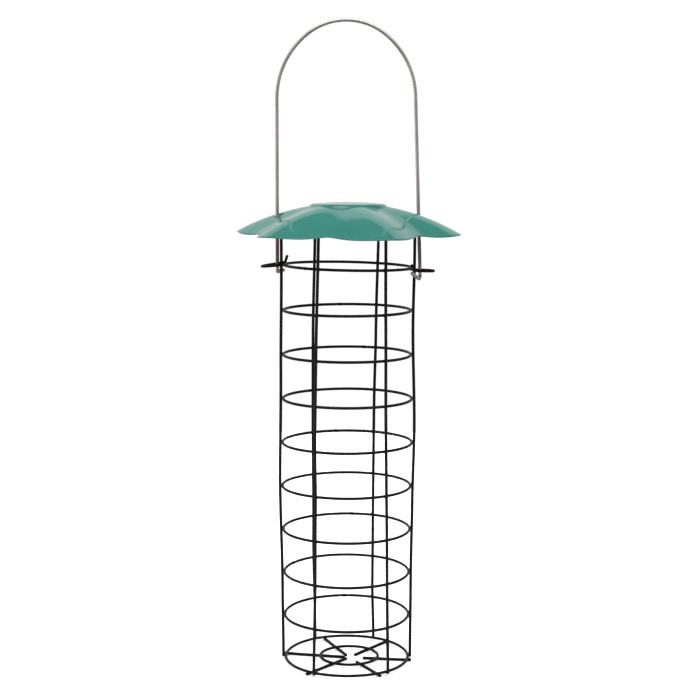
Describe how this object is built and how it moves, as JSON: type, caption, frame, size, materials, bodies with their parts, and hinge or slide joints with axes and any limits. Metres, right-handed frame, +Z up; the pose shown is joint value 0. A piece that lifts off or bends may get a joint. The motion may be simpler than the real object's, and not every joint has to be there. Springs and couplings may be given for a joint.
{
  "type": "wire suet-ball bird feeder",
  "caption": "Tall round wire cage for suet balls, with a petal-shaped sheet-metal roof that slides up a wire bail.",
  "frame": {"origin": "centre of the cage, level with the underside of the floor spokes it stands on", "axes": "+Z up along the cage's axis, +X to the right along the two ears, -Y towards the front"},
  "size_m": [0.135, 0.1324, 0.3913],
  "materials": {
    "black_wire": "glossy black powder coat on steel wire",
    "bright_wire": "bright drawn steel wire, lightly dulled",
    "green_enamel": "glossy green enamel on pressed sheet steel"
  },
  "bodies": {
    "cage": {"upright_right": "black_wire", "upright_back_right": "black_wire", "upright_back_left": "black_wire", "upright_left": "black_wire", "upright_front_left": "black_wire", "upright_front_right": "black_wire", "ring_01": "black_wire", "ring_02": "black_wire", "ring_03": "black_wire", "ring_04": "black_wire", "ring_05": "black_wire", "ring_06": "black_wire", "ring_07": "black_wire", "ring_08": "black_wire", "ring_09": "black_wire", "ring_10": "black_wire", "rim_ring": "black_wire", "floor_inner_ring": "black_wire", "floor_spoke_right": "black_wire", "floor_spoke_back_right": "black_wire", "floor_spoke_back_left": "black_wire", "floor_spoke_left": "black_wire", "floor_spoke_front_left": "black_wire", "floor_spoke_front_right": "black_wire", "ear_left": "black_wire", "ear_right": "black_wire"},
    "bail": {"bail": "bright_wire"},
    "roof": {"roof": "green_enamel"}
  },
  "joints": [
    {"name": "bail_swing", "type": "hinge", "parent": "cage", "child": "bail", "pos_m": [0, 0, 0.2446], "axis": [1, 0, 0], "range_deg": [-2.5, 2.5]},
    {"name": "roof_slide", "type": "slide", "parent": "bail", "child": "roof", "axis": [0, 0, 1], "range_m": [0, 0.065]}
  ]
}
